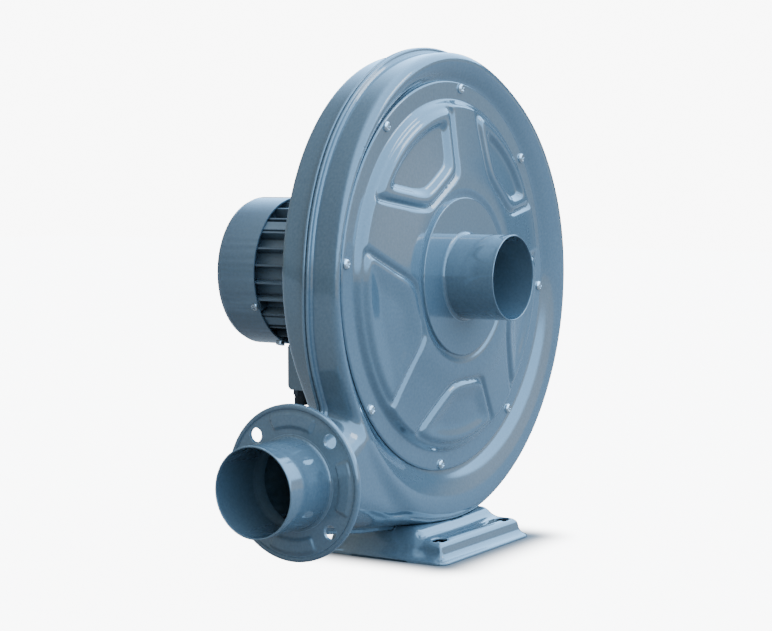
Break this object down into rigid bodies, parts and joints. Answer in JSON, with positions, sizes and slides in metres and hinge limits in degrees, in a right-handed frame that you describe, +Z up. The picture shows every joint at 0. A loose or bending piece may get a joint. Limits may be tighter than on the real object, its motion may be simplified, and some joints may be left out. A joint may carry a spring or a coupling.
{
  "type": "centrifugal fan",
  "caption": "Pressed scroll fan with a round inlet pipe, a flanged outlet pipe, a finned motor behind and a pressed foot.",
  "frame": {"origin": "on the floor under the shaft, at the middle of the foot's underside", "axes": "+Z up; the shaft lies along Y, the inlet looks towards -Y and the motor stands at +Y; the outlet looks towards -X"},
  "size_m": [0.4869, 0.2768, 0.4498],
  "materials": {
    "casing_paint": "glossy blue-grey paint",
    "motor_paint": "satin blue-grey paint",
    "box_paint": "satin dark grey paint",
    "zinc": "bright zinc",
    "wheel_steel": "satin blue-grey paint",
    "cast_hub": "as cast",
    "bare_steel": "ground",
    "core_steel": "stacked sheet",
    "windings": "varnished copper",
    "black_rubber": "matte",
    "black_plastic": "matte",
    "brass": "bright"
  },
  "bodies": {
    "casing": {"front_shell": "casing_paint", "rear_shell": "casing_paint", "front_cover": "casing_paint", "inlet_plate": "casing_paint", "inlet_pipe": "casing_paint", "inlet_weld": "casing_paint", "outlet_pipe": "casing_paint", "outlet_flange": "casing_paint", "outlet_weld": "casing_paint", "base_foot": "casing_paint", "motor_frame": "motor_paint", "front_shield": "motor_paint", "rear_shield": "motor_paint", "fan_cowl": "motor_paint", "terminal_box": "box_paint", "terminal_lid": "box_paint", "cover_screws": "zinc", "cowl_screws": "zinc", "lid_screws": "zinc", "earth_screw": "zinc", "tie_bolts": "zinc", "motor_bolts": "zinc", "wave_washer": "zinc", "inlet_nozzle": "wheel_steel", "front_bearing_outer": "bare_steel", "rear_bearing_outer": "bare_steel", "stator_core": "core_steel", "stator_windings": "windings", "cover_gasket": "black_rubber", "lid_gasket": "black_rubber", "shaft_seal": "black_rubber", "gland_plug": "black_rubber", "gland_body": "black_plastic", "gland_nut": "black_plastic", "terminal_block": "black_plastic", "terminal_studs": "brass"},
    "rotor": {"impeller_backplate": "wheel_steel", "impeller_shroud": "wheel_steel", "impeller_blades": "wheel_steel", "impeller_hub": "cast_hub", "impeller_rivets": "zinc", "impeller_key": "bare_steel", "impeller_washer": "zinc", "impeller_bolt": "zinc", "motor_shaft": "bare_steel", "front_bearing_inner": "bare_steel", "rear_bearing_inner": "bare_steel", "rotor_core": "core_steel", "rotor_end_rings": "cast_hub", "cooling_fan": "black_plastic"},
    "front_cage": {"front_bearing_balls": "bare_steel", "front_bearing_cage": "bare_steel"},
    "rear_cage": {"rear_bearing_balls": "bare_steel", "rear_bearing_cage": "bare_steel"}
  },
  "joints": [
    {"name": "rotor_spin", "type": "hinge", "parent": "casing", "child": "rotor", "pos_m": [0, 0, 0.245], "axis": [0, 1, 0], "continuous": true},
    {"name": "front_cage_spin", "type": "hinge", "parent": "casing", "child": "front_cage", "pos_m": [0, 0.0366, 0.245], "axis": [0, 1, 0], "continuous": true},
    {"name": "rear_cage_spin", "type": "hinge", "parent": "casing", "child": "rear_cage", "pos_m": [0, 0.1545, 0.245], "axis": [0, 1, 0], "continuous": true}
  ],
  "couplings": [
    {"joint": "front_cage_spin", "follows": "rotor_spin", "ratio": 0.407},
    {"joint": "rear_cage_spin", "follows": "rotor_spin", "ratio": 0.407}
  ]
}
